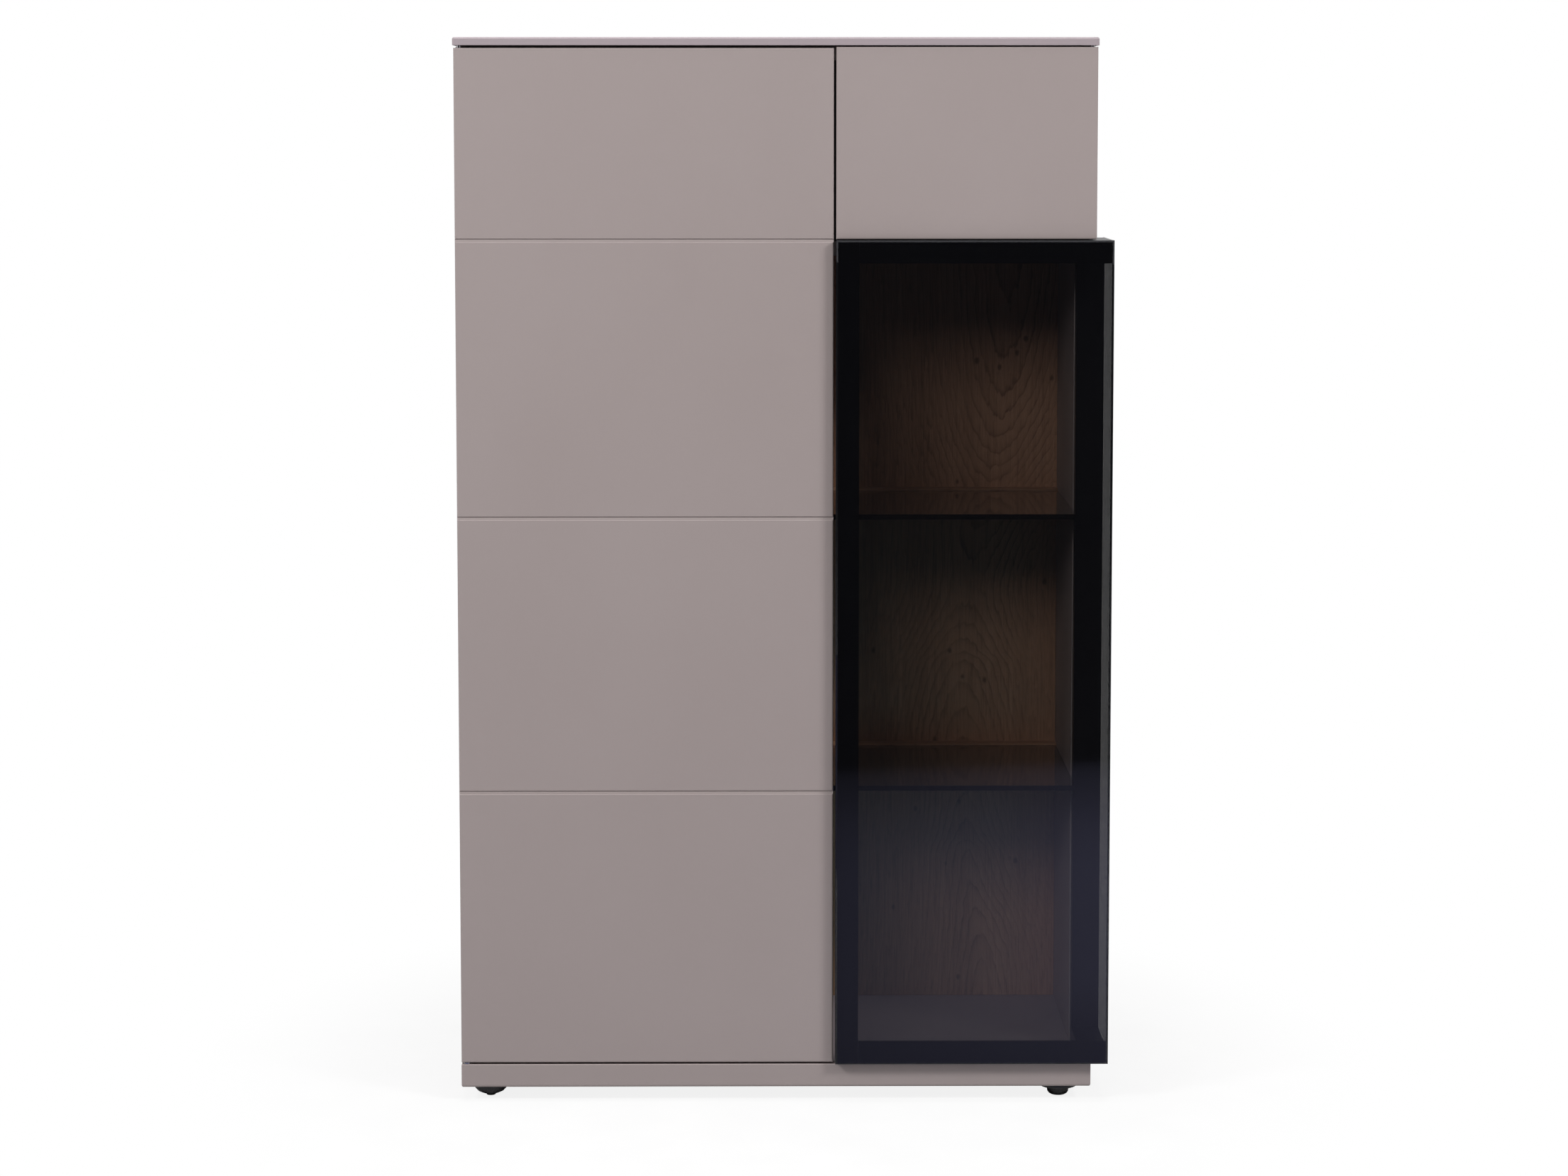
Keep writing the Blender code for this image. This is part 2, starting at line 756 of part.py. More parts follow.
def hinge_outline(side):
    """Section of one half of a hinge: a round knuckle with its leaf, on one side of the gap."""
    near_edge = side * (hinge_gap / 2 - fit_gap - leaf_thickness)
    far_edge = side * (hinge_gap / 2 - fit_gap)
    first = math.pi - math.asin(abs(far_edge) / knuckle_radius)
    last = -math.pi - math.asin(abs(near_edge) / knuckle_radius)
    leaf_left = body_right - leaf_width
    outline = [(leaf_left, hinge_y + far_edge)]
    for step in range(pin_sides + 1):
        angle = first + (last - first) * step / pin_sides
        x = hinge_x + knuckle_radius * math.cos(angle)
        outline.append((x, hinge_y + side * knuckle_radius * math.sin(angle)))
    outline.append((leaf_left, hinge_y + near_edge))
    return outline


def make_hinges(metal):
    """Lift-off hinges: the lower half, with its pin, is fixed, and the upper half turns on it."""
    moving = []
    for number, z in enumerate(hinge_heights(), start=1):
        foot = (hinge_x, hinge_y, z)
        lower_half = prism_mesh(hinge_outline(1), 2, z - knuckle_height, z - fit_gap)
        fixed = add_node(f"hinge_{number}_fixed_half", lower_half, metal)
        pin_start = -knuckle_height / 2
        profile = (
            (0, pin_start),
            (hinge_pin_radius, pin_start),
            (hinge_pin_radius, hinge_pin_height),
            (0, hinge_pin_height),
        )
        combine(fixed, [turned_mesh(profile, foot, (0, 0, 1), pin_sides)], "UNION")
        upper_half = prism_mesh(hinge_outline(-1), 2, z + fit_gap, z + knuckle_height)
        half = add_node(f"hinge_{number}_moving_half", upper_half, metal)
        bore_mouth = (hinge_x, hinge_y, z + fit_gap)
        bore = hole(hinge_pin_radius + fit_gap, hinge_pin_height, bore_mouth, (0, 0, 1))
        combine(half, [bore], "DIFFERENCE")
        moving.append(half)
    return moving


def make_latches(metal, plastic):
    """Push latches: a housing in the board's edge, and a plunger that pushes its door open."""
    for name, x, z in latch_places():
        foot = (x, carcass_front + fit_gap, z)
        inner_radius = plunger_radius + fit_gap
        profile = (
            (0, latch_length - fit_gap),
            (latch_radius, latch_length - fit_gap),
            (latch_radius, 0),
            (inner_radius, 0),
            (inner_radius, latch_length - latch_floor),
            (0, latch_length - latch_floor),
        )
        housing = add_node(f"{name}_latch_housing", turned_mesh(profile, foot, (0, 1, 0), pin_sides), metal)
        smooth_round(housing)
        well_end = foot[1] + latch_length - latch_floor
        foot = (x, front_back + fit_gap, z)
        plunger_length = well_end - plunger_end_gap - foot[1]
        profile = (
            (0, 0),
            (plunger_tip_radius, 0),
            (plunger_radius, plunger_radius - plunger_tip_radius),
            (plunger_radius, plunger_length),
            (0, plunger_length),
        )
        plunger = add_node(f"{name}_latch_plunger", turned_mesh(profile, foot, (0, 1, 0), pin_sides), plastic)
        smooth_round(plunger)
        set_origin(plunger, foot)


def dome_profile(height, dome_radius, rim, neck_radius):
    """Section of a foot's dome round its bore: a rim at the base, then a bulge to a flat bottom."""
    top = base_bottom - fit_gap
    bottom = base_bottom - height
    bore = stem_radius + stem_clearance
    points = [(bore, top), (dome_radius, top), (dome_radius, top - rim)]
    steps = edge_steps + 1
    for step in range(1, steps + 1):
        angle = math.pi / 2 * step / steps
        radius = neck_radius + (dome_radius - neck_radius) * math.cos(angle)
        points.append((radius, top - rim - (top - rim - bottom) * math.sin(angle)))
    points.append((bore, bottom))
    return points


def glide_profile(dome_height, glide_radius, sole_radius):
    """Section of a glide: a flat sole, a round bowl, and the screw stem above it."""
    top = base_bottom - dome_height - fit_gap
    points = [(0, 0), (sole_radius, 0)]
    steps = edge_steps + 1
    for step in range(1, steps + 1):
        angle = math.pi / 2 * step / steps
        radius = sole_radius + (glide_radius - sole_radius) * math.sin(angle)
        points.append((radius, top * (1 - math.cos(angle)) / 2))
    stem_top = base_bottom + socket_depth - stem_end_gap
    points += [(glide_radius, top), (stem_radius, top), (stem_radius, stem_top), (0, stem_top)]
    return points


def make_feet(plastic):
    """Deep domes over narrow glides on the left, flat domes over wide glides on the right."""
    left_dome = dome_profile(left_dome_height, left_dome_radius, left_dome_rim, left_dome_neck_radius)
    left_glide = glide_profile(left_dome_height, left_glide_radius, left_glide_sole_radius)
    right_dome = dome_profile(right_dome_height, right_dome_radius, right_dome_rim, right_dome_neck_radius)
    right_glide = glide_profile(right_dome_height, right_glide_radius, right_glide_sole_radius)
    profiles = {
        "left_front": (left_dome, left_glide),
        "left_back": (left_dome, left_glide),
        "right_front": (right_dome, right_glide),
        "right_back": (right_dome, right_glide),
    }
    for (name, (dome_section, glide_section)), (x, y) in zip(profiles.items(), foot_places()):
        dome_mesh = turned_mesh(dome_section, (x, y, 0), (0, 0, 1), foot_sides)
        dome = add_node(f"foot_dome_{name}", dome_mesh, plastic)
        glide_mesh = turned_mesh(glide_section, (x, y, 0), (0, 0, 1), foot_sides)
        glide = add_node(f"foot_glide_{name}", glide_mesh, plastic)
        smooth_round(dome)
        smooth_round(glide)
        set_origin(glide, (x, y, 0))


def main():
    clear_scene()
    lacquer = make_material("taupe_lacquer", (0.34, 0.29, 0.28), 0.45)
    oak = make_material("oak", (0.36, 0.22, 0.13), 0.5)
    black = make_material("black_frame", (0.012, 0.012, 0.014), 0.4)
    glass = make_material("smoked_glass", (0.05, 0.05, 0.055), 0.04, alpha=0.45)
    metal = make_material("zinc_plated_steel", (0.55, 0.55, 0.56), 0.3, metallic=1.0)
    plastic = make_material("black_plastic", (0.02, 0.02, 0.022), 0.35)
    make_top_plate(lacquer)
    make_base_plate(lacquer)
    make_left_side_panel(lacquer)
    make_right_side_panel(lacquer)
    make_partition(lacquer)
    make_carcass_boards(lacquer)
    make_back_panels(lacquer, oak)
    make_wooden_shelves(lacquer)
    for number, level in enumerate(("lower", "upper"), start=1):
        make_glass_shelf(number, f"glass_shelf_{level}", glass)
        make_shelf_rail(number, f"glass_shelf_rail_{level}", oak)
    make_pins(metal)
    make_left_door(lacquer)
    make_upper_door(lacquer)
    make_pivots(metal)
    make_pivot_bracket(metal)
    glass_door = make_glass_frame(black) + make_glass_wing(black) + make_panes(glass) + make_hinges(metal)
    for node in (*glass_door, make_corner_seam(plastic)):
        set_origin(node, (hinge_x, hinge_y, glass_bottom))
    make_latches(metal, plastic)
    make_feet(plastic)


main()
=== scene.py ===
import math

import bpy
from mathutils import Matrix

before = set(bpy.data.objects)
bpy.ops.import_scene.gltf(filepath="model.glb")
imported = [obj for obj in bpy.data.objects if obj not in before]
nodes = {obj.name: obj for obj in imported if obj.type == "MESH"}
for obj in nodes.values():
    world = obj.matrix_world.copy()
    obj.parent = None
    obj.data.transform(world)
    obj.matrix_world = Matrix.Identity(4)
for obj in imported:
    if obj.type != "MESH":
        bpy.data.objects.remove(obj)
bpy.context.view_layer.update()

# Colours are linear and lengths are metres. Cells are a noise's cells in a metre along x, y and z
WHITE = (1.0, 1.0, 1.0)
NO_LIGHT = (0.0, 0.0, 0.0)
NOISE_MIDDLE = 0.5
NEW_CURVE_POINTS = 2
NOISE_LOW, NOISE_HIGH = 0.3, 0.7

# Lacquer
LACQUER = (0.352, 0.300, 0.294)
LACQUER_DEEP = (0.336, 0.284, 0.277)
# Top plate: bluer and a little lighter than the other lacquer, a painted bluish reflection of the lit floor
# before it
PLATE_LACQUER_PAINTED_REFLECTION = ((0.352, 0.298, 0.318), (0.368, 0.314, 0.335))
LACQUER_ROUGHNESS = 0.42
LACQUER_ROUGHNESS_SPREAD = 0.03
LACQUER_CLOUD_CELLS = (3.1, 3.1, 2.3)
LACQUER_CLOUD_LOW, LACQUER_CLOUD_HIGH = 0.35, 0.65
LACQUER_CLOUD_SHARE, LACQUER_SPECK_SHARE = 0.6, 0.4
LACQUER_SPECK_CELLS = (900.0, 900.0, 900.0)
LACQUER_PEEL_CELLS = (420.0, 420.0, 420.0)
LACQUER_WEAR_CELLS = (60.0, 60.0, 60.0)
LACQUER_PEEL_HEIGHT = 0.00004

# Black, glass, steel and plastic
BLACK = (0.005, 0.005, 0.006)
BLACK_WORN = (0.009, 0.009, 0.011)
UPRIGHT = (0.018, 0.018, 0.020)
UPRIGHT_WORN = (0.022, 0.022, 0.025)
BLACK_ROUGHNESS, BLACK_SPREAD, BLACK_SHINE = 0.38, 0.05, 0.22
BLACK_CELLS = (220.0, 220.0, 220.0)
GLASS = (0.004, 0.004, 0.005)
GLASS_SHEEN = (0.92, 0.92, 1.0)
GLASS_INDEX = 1.5
GLASS_CELLS = (25.0, 25.0, 25.0)
GLASS_ROUGHNESS = (0.004, 0.010)
PANE_ALPHA, PANE_SHINE = 0.547, 0.85
SHELF_ALPHA, SHELF_SHINE, SHELF_COAT = 0.88, 0.6, 1.0
STEEL = (0.56, 0.56, 0.57)
STEEL_DULL = (0.42, 0.42, 0.44)
STEEL_ROUGHNESS, STEEL_SPREAD = 0.30, 0.06
STEEL_CELLS = (700.0, 700.0, 90.0)
PLASTIC = (0.008, 0.008, 0.010)
PLASTIC_PALE = (0.013, 0.013, 0.016)
PLASTIC_ROUGHNESS, PLASTIC_SPREAD = 0.30, 0.05
PLASTIC_CELLS = (500.0, 500.0, 500.0)
SPECKLE_HEIGHT = 0.00003
PLAIN_SHINE = 0.5

# Oak colours, and how strongly each layer of its grain darkens it
OAK_LIGHT = (0.600, 0.345, 0.218)
OAK_MID = (0.350, 0.192, 0.114)
OAK_DARK = (0.185, 0.096, 0.058)
OAK_PORE = (0.080, 0.040, 0.025)
FIBRE_SHARE, STREAK_SHARE, SOFT_SHARE = 0.34, 0.22, 0.16
FINE_SHARE, LATE_SHARE, PORE_SHARE, KNOT_SHARE = 0.34, 0.92, 0.60, 0.62
BROAD_SHARE = 0.45

# Oak noises
DRIFT_CELLS, DRIFT_REACH = (7.0, 7.0, 2.2), 0.030
WOBBLE_CELLS, WOBBLE_DETAIL, WOBBLE_ROUGHNESS, WOBBLE_RINGS = (85.0, 85.0, 26.0), 5.0, 0.62, 1.15
STRAY_CELLS, STRAY_ROUGHNESS, STRAY_RINGS = (48.0, 48.0, 1.6), 0.7, 4.5
PATCH_CELLS, PATCH_LOW, PATCH_HIGH, PATCH_LEAST = (26.0, 26.0, 5.0), 0.36, 0.60, 0.35
BROAD_CELLS = (16.0, 16.0, 1.2)
FIBRE_CELLS, FIBRE_ROUGHNESS, FIBRE_LOW, FIBRE_HIGH = (380.0, 380.0, 6.0), 0.65, 0.34, 0.66
STREAK_CELLS, STREAK_ROUGHNESS, STREAK_LOW, STREAK_HIGH = (120.0, 120.0, 2.4), 0.6, 0.36, 0.64
PORE_CELLS, PORE_DETAIL, PORE_LOW, PORE_HIGH = (950.0, 950.0, 26.0), 2.0, 0.56, 0.66

# Oak rings: their spacing, how sharply the late wood ends each, and how that weakens on the figure's flanks
RING = 0.0095
FLANK_START, FLANK_END = 0.02, 0.10
LATE_POWER, LATE_ON_FLANK = 8.0, 0.45
SOFT_POWER = 1.6
FINE_RINGS, FINE_POWER, FINE_IN_HEART, FINE_ON_FLANK = 3.0, 2.0, 0.35, 0.75
FINE_PORE_END, PORE_EARLY, PORE_LATE = 0.9, 0.75, 0.30

# Painted light and shade on the oak: darker below the turn of height than above it, and darker at the left
# than at the right, as light falls inside the vitrine
PAINTED_SHADE_TURN_LOW, PAINTED_SHADE_TURN_HIGH, PAINTED_SHADE_BELOW, PAINTED_SHADE_ABOVE = 0.88, 0.98, 0.30, -0.14
PAINTED_SHADE_LEFT, PAINTED_SHADE_RIGHT, PAINTED_SHADE_AT_LEFT, PAINTED_SHADE_AT_RIGHT = 0.10, 0.45, 0.24, -0.16
OAK_ROUGHNESS = (0.42, 0.56)
OAK_FIBRE_HEIGHT_SHARE, OAK_HEIGHT = 0.25, 0.00010

# Oak figure on the vitrine's back, against height z: where its middle lies, the ring met there, and how round
# the rings turn; then knots as across, up and radius
FIGURE_MIDDLE = ((0.0, 0.330), (0.148, 0.327), (0.237, 0.312), (0.346, 0.300), (0.699, 0.295), (0.95, 0.345),
                 (1.15, 0.362), (1.35, 0.366))
FIGURE_MIDDLE_RANGE = (0.25, 0.40)
FIGURE_RINGS = ((0.0, -10.5), (0.06, -9.0), (0.12, -8.0), (0.163, -7.0), (0.205, -6.0), (0.247, -5.0),
                (0.302, -4.0), (0.319, -3.0), (0.353, -2.0), (0.40, -1.0), (0.45, 0.0), (0.49, 1.0),
                (0.535, 2.0), (0.579, 3.0), (0.614, 4.0), (0.628, 5.0), (0.651, 6.0), (0.677, 7.0),
                (0.711, 8.0), (0.745, 8.4), (0.779, 8.0), (0.83, 7.0), (0.88, 6.0), (0.908, 5.0),
                (0.931, 4.0), (0.954, 3.0), (0.981, 2.0), (1.013, 1.0), (1.052, 0.0), (1.10, -0.9),
                (1.18, -1.8), (1.35, -3.0))
FIGURE_RINGS_RANGE = (-12.0, 10.0)
FIGURE_TURN = ((0.0, 0.014), (0.30, 0.018), (0.40, 0.026), (0.52, 0.045), (0.70, 0.050), (1.35, 0.050))
FIGURE_TURN_RANGE = (0.0, 0.06)
KNOTS = ((0.315, 1.105, 0.0035), (0.352, 1.095, 0.0030), (0.437, 1.077, 0.0030), (0.148, 0.631, 0.0028),
         (0.273, 0.631, 0.0028), (0.294, 0.588, 0.0025), (0.330, 0.582, 0.0030), (0.249, 0.484, 0.0030),
         (0.218, 0.369, 0.0028), (0.289, 0.381, 0.0028), (0.382, 0.282, 0.0030), (0.182, 0.205, 0.0026),
         (0.289, 0.088, 0.0028), (0.394, 1.141, 0.0032), (0.380, 1.118, 0.0030), (0.284, 0.908, 0.0025),
         (0.427, 0.744, 0.0032), (0.268, 0.278, 0.0020))
KNOT_STRETCH, KNOT_CORE, KNOT_EDGE = 1.4, 0.1, 2.2

# Floor and world
AMBIENT = 0.14
FLOOR_LEVEL, FLOOR_SIZE = -0.0005, (60.0, 60.0)
FLOOR_CELLS = (8.0, 8.0, 8.0)
FLOOR_SEEN = ((0.105, 0.105, 0.105), (0.12, 0.12, 0.12))
FLOOR_BOUNCE = ((0.46, 0.46, 0.46), (0.48, 0.48, 0.48))
FLOOR_LIFT = 0.86
FLOOR_FADE_START, FLOOR_FADE_END = 0.50, 1.00

# Cards that only mirror-like surfaces see
CARD_LEVEL = 0.001
DARK_FLOOR_PLACE, DARK_FLOOR_SIZE = (0.0, -12.90, CARD_LEVEL), (40.0, 19.9)
DARK_FRONT_PLACE, DARK_FRONT_SIZE = (0.0, -22.0, 6.0), (40.0, 12.0)
UPRIGHT_TURN = (math.pi / 2, 0.0, 0.0)
GLOW = (0.43, 0.43, 0.65)
GLOW_SETBACK, GLOW_SIZE = 1.60, (8.0, 2.7)
GLOW_GAP, GLOW_SLANT = 0.03, 0.16
GLOW_AWAY = ((0.0, 1.0), (1.55, 1.0), (1.78, 0.93), (2.03, 0.80), (2.29, 0.58), (2.58, 0.33), (2.70, 0.12),
             (2.77, 0.0), (3.20, 0.0))
GLOW_AT_LEFT, GLOW_TO_RIGHT, GLOW_RIGHT_END = 0.45, 0.66, 0.67
GLOW_NEAR, GLOW_FAR, GLOW_NEAR_SHARE = 0.35, 0.95, 0.40

# Lamps: place, aim, width and height, strength and colour
MIDDLE = (0.0, -0.1, 0.95)
RIGHT_SPOT = (3.66, -2.62, 3.65)
FRONT_SPOT = (-1.35, -4.65, 3.34)
SOFT_BOX, WIDE_BOX = (1.0, 1.0), (2.8, 1.5)
LAMPS = {
    "left_lamp": ((-3.66, -2.62, 3.65), MIDDLE, SOFT_BOX, 0.61, WHITE),
    "right_lamp": (RIGHT_SPOT, MIDDLE, SOFT_BOX, 0.58, WHITE),
    "front_lamp": (FRONT_SPOT, MIDDLE, WIDE_BOX, 0.09, WHITE),
    "overhead_lamp": ((0.0, -0.40, 5.2), MIDDLE, (2.0, 2.0), 0.60, WHITE),
    "vitrine_lamp": (FRONT_SPOT, (0.30, 0.20, 0.80), WIDE_BOX, 0.365, WHITE),
    "vitrine_fill": ((0.50, -1.60, 0.30), (0.30, 0.20, 0.20), (0.8, 0.3), 0.0125, (0.45, 0.95, 1.15)),
    "vitrine_right_lamp": (RIGHT_SPOT, MIDDLE, SOFT_BOX, 0.58, WHITE),
    "vitrine_floor_lamp": ((0.26, 0.0, 0.44), (0.26, 0.0, 0.0), (0.34, 0.30), 0.23, (0.95, 1.0, 1.15)),
}
VITRINE_FILL_SPREAD = math.radians(50)
INSIDE = ("vitrine_back_panel", "right_side_panel", "partition", "glass_shelf_rail_lower",
          "glass_shelf_rail_upper", "glass_shelf_lower", "glass_shelf_upper")
PANES = ("glass_door_front_pane", "glass_door_side_pane")

# Camera: angles in radians
CAMERA_PLACE = (-0.02855, -4.9025, 1.4815)
CAMERA_DOWN, CAMERA_YAW = 0.0805, -0.0061
CAMERA_SENSOR, CAMERA_LENS, CAMERA_SHIFT = 36.0, 72.193, -0.1317


# Node helpers
def start(name):
    material = bpy.data.materials.new(name)
    material.use_nodes = True
    return material, material.node_tree, material.node_tree.nodes["Principled BSDF"]


def feed(tree, target, value):
    if isinstance(value, bpy.types.NodeSocket):
        tree.links.new(value, target)
    else:
        target.default_value = value


def add(tree, kind, settings=None, inputs=None):
    node = tree.nodes.new(kind)
    for key, value in (settings or {}).items():
        setattr(node, key, value)
    for key, value in (inputs or {}).items():
        feed(tree, node.inputs[key], value)
    return node


def calc(tree, operation, a, b=0.0, c=None, clamp=False):
    node = add(tree, "ShaderNodeMath", {"operation": operation, "use_clamp": clamp}, {0: a, 1: b})
    if c is not None:
        feed(tree, node.inputs[2], c)
    return node.outputs[0]


def place(tree):
    return tree.nodes.new("ShaderNodeTexCoord").outputs["Object"]


def noise(tree, where, cells, detail=3.0, roughness=0.5):
    stretched = add(tree, "ShaderNodeVectorMath", {"operation": "MULTIPLY"}, {0: where, 1: cells})
    node = add(tree, "ShaderNodeTexNoise", {}, {"Vector": stretched.outputs[0], "Scale": 1.0,
                                                "Detail": detail, "Roughness": roughness})
    return node.outputs[0]


def span(tree, value, low, high, out_low=0.0, out_high=1.0, smooth=False):
    node = add(tree, "ShaderNodeMapRange", {"interpolation_type": "SMOOTHSTEP" if smooth else "LINEAR"},
               {"Value": value, "From Min": low, "From Max": high, "To Min": out_low, "To Max": out_high})
    return node.outputs[0]


def blend(tree, factor, a, b):
    node = add(tree, "ShaderNodeMix", {"data_type": "RGBA", "blend_type": "MIX"})
    feed(tree, node.inputs["Factor"], factor)
    for key, colour in (("A", a), ("B", b)):
        socket = [s for s in node.inputs if s.name == key and s.type == "RGBA"][0]
        feed(tree, socket, colour if isinstance(colour, bpy.types.NodeSocket) else (*colour, 1.0))
    return [s for s in node.outputs if s.type == "RGBA"][0]


def curve(tree, value, points, low, high):
    """A curve over value drawn through the given points: points are (value, result), and results lie between
    low and high.
    """
    start_at, end_at = points[0][0], points[-1][0]
    node = add(tree, "ShaderNodeFloatCurve", {}, {"Value": span(tree, value, start_at, end_at)})
    line = node.mapping.curves[0]
    for i, (x, y) in enumerate(points):
        spot = ((x - start_at) / (end_at - start_at), (y - low) / (high - low))
        if i < NEW_CURVE_POINTS:
            line.points[i].location = spot
        else:
            line.points.new(*spot)
    node.mapping.update()
    return span(tree, node.outputs[0], 0.0, 1.0, low, high)


def bump(tree, shader, height, distance):
    node = add(tree, "ShaderNodeBump", {}, {"Height": height, "Distance": distance, "Strength": 1.0})
    tree.links.new(node.outputs[0], shader.inputs["Normal"])


# Patterns: each returns colour, roughness and height
def lacquer_pattern(tree, where, pair):
    cloud = span(tree, noise(tree, where, LACQUER_CLOUD_CELLS), LACQUER_CLOUD_LOW, LACQUER_CLOUD_HIGH)
    speck = span(tree, noise(tree, where, LACQUER_SPECK_CELLS, 2.0), NOISE_LOW, NOISE_HIGH)
    tone = calc(tree, "ADD", calc(tree, "MULTIPLY", cloud, LACQUER_CLOUD_SHARE),
                calc(tree, "MULTIPLY", speck, LACQUER_SPECK_SHARE))
    peel = noise(tree, where, LACQUER_PEEL_CELLS, 2.0)
    rough = span(tree, noise(tree, where, LACQUER_WEAR_CELLS), NOISE_LOW, NOISE_HIGH,
                 LACQUER_ROUGHNESS - LACQUER_ROUGHNESS_SPREAD, LACQUER_ROUGHNESS + LACQUER_ROUGHNESS_SPREAD)
    return blend(tree, tone, *pair), rough, peel


def oak_rings(tree, where, across, along):
    """Nested rings about a wandering heart: the phase, counted in rings, and the distance from the heart."""
    drift = calc(tree, "SUBTRACT", noise(tree, where, DRIFT_CELLS), NOISE_MIDDLE)
    wobble = calc(tree, "SUBTRACT", noise(tree, where, WOBBLE_CELLS, WOBBLE_DETAIL, WOBBLE_ROUGHNESS),
                  NOISE_MIDDLE)
    middle = curve(tree, along, FIGURE_MIDDLE, *FIGURE_MIDDLE_RANGE)
    rings = curve(tree, along, FIGURE_RINGS, *FIGURE_RINGS_RANGE)
    turn = curve(tree, along, FIGURE_TURN, *FIGURE_TURN_RANGE)
    side = calc(tree, "ADD", calc(tree, "SUBTRACT", across, middle),
                calc(tree, "MULTIPLY", drift, DRIFT_REACH))
    reach = calc(tree, "SQRT", calc(tree, "ADD", calc(tree, "POWER", side, 2.0),
                                    calc(tree, "POWER", turn, 2.0)))
    reach = calc(tree, "SUBTRACT", reach, turn)
    phase = calc(tree, "ADD", calc(tree, "DIVIDE", reach, RING), rings)
    phase = calc(tree, "ADD", phase, calc(tree, "MULTIPLY", wobble, WOBBLE_RINGS))
    flank = span(tree, reach, FLANK_START, FLANK_END, 0.0, 1.0, True)
    stray = calc(tree, "SUBTRACT", noise(tree, where, STRAY_CELLS, roughness=STRAY_ROUGHNESS), NOISE_MIDDLE)
    strayed = calc(tree, "MULTIPLY", calc(tree, "MULTIPLY", stray, STRAY_RINGS), flank)
    return calc(tree, "ADD", phase, strayed), flank


def oak_pattern(tree, where, across, along):
    """Flat-sawn oak in the plane of two coordinates: rings, pores, fibres and knots, over painted light and
    shade.
    """
    phase, flank = oak_rings(tree, where, across, along)
    ring = calc(tree, "FRACT", phase)
    fine = calc(tree, "FRACT", calc(tree, "MULTIPLY", phase, FINE_RINGS))
    patch = span(tree, noise(tree, where, PATCH_CELLS), PATCH_LOW, PATCH_HIGH, PATCH_LEAST, 1.0)
    late = calc(tree, "MULTIPLY", calc(tree, "MULTIPLY", calc(tree, "POWER", ring, LATE_POWER), patch),
                span(tree, flank, 0.0, 1.0, 1.0, LATE_ON_FLANK))
    soft = calc(tree, "POWER", ring, SOFT_POWER)
    fine_late = calc(tree, "MULTIPLY", calc(tree, "POWER", fine, FINE_POWER),
                     span(tree, flank, 0.0, 1.0, FINE_IN_HEART, FINE_ON_FLANK))
    broad = span(tree, noise(tree, where, BROAD_CELLS), NOISE_LOW, NOISE_HIGH)
    fibre = span(tree, noise(tree, where, FIBRE_CELLS, roughness=FIBRE_ROUGHNESS), FIBRE_LOW, FIBRE_HIGH)
    streak = span(tree, noise(tree, where, STREAK_CELLS, roughness=STREAK_ROUGHNESS), STREAK_LOW, STREAK_HIGH)
    pore = calc(tree, "MULTIPLY",
                span(tree, noise(tree, where, PORE_CELLS, PORE_DETAIL), PORE_LOW, PORE_HIGH, 0.0, 1.0, True),
                span(tree, fine, 0.0, FINE_PORE_END, PORE_EARLY, PORE_LATE))
    # Painted light and shade: lighter above the turn of height and to the right, darker below it and to the
    # left
    tone = calc(tree, "ADD",
                span(tree, along, PAINTED_SHADE_TURN_LOW, PAINTED_SHADE_TURN_HIGH, PAINTED_SHADE_BELOW, PAINTED_SHADE_ABOVE, True),
                span(tree, across, PAINTED_SHADE_LEFT, PAINTED_SHADE_RIGHT, PAINTED_SHADE_AT_LEFT, PAINTED_SHADE_AT_RIGHT))
    colour = blend(tree, calc(tree, "MULTIPLY_ADD", broad, BROAD_SHARE, tone, True), OAK_LIGHT, OAK_MID)
    for layer, share, shade in ((fibre, FIBRE_SHARE, OAK_DARK), (streak, STREAK_SHARE, OAK_MID),
                                (soft, SOFT_SHARE, OAK_DARK), (fine_late, FINE_SHARE, OAK_DARK),
                                (late, LATE_SHARE, OAK_DARK), (pore, PORE_SHARE, OAK_PORE)):
        colour = blend(tree, calc(tree, "MULTIPLY", layer, share), colour, shade)
    for knot_across, knot_along, radius in KNOTS:
        a = calc(tree, "DIVIDE", calc(tree, "SUBTRACT", across, knot_across), radius)
        b = calc(tree, "DIVIDE", calc(tree, "SUBTRACT", along, knot_along), radius * KNOT_STRETCH)
        far = calc(tree, "ADD", calc(tree, "MULTIPLY", a, a), calc(tree, "MULTIPLY", b, b))
        colour = blend(tree, span(tree, far, KNOT_CORE, KNOT_EDGE, KNOT_SHARE, 0.0, True), colour, OAK_PORE)
    rough = span(tree, fibre, 0.0, 1.0, *OAK_ROUGHNESS)
    height = calc(tree, "SUBTRACT", calc(tree, "MULTIPLY", fibre, OAK_FIBRE_HEIGHT_SHARE), pore)
    return colour, rough, height


# Finishes
def dress(tree, shader, colour, rough, height, depth):
    feed(tree, shader.inputs["Base Color"], colour)
    feed(tree, shader.inputs["Roughness"], rough)
    bump(tree, shader, height, depth)


def lacquer(name, pair=(LACQUER_DEEP, LACQUER)):
    material, tree, shader = start(name)
    dress(tree, shader, *lacquer_pattern(tree, place(tree), pair), LACQUER_PEEL_HEIGHT)
    return material


def oak(name, level=False):
    """Oak whose grain stands upright, or lies level along x."""
    material, tree, shader = start(name)
    where = place(tree)
    parts = add(tree, "ShaderNodeSeparateXYZ", {}, {0: where}).outputs
    across, along = parts["X"], parts["Z"]
    if level:
        across, along = along, across
        where = add(tree, "ShaderNodeCombineXYZ", {}, {0: across, 1: parts["Y"], 2: along}).outputs[0]
    dress(tree, shader, *oak_pattern(tree, where, across, along), OAK_HEIGHT)
    return material


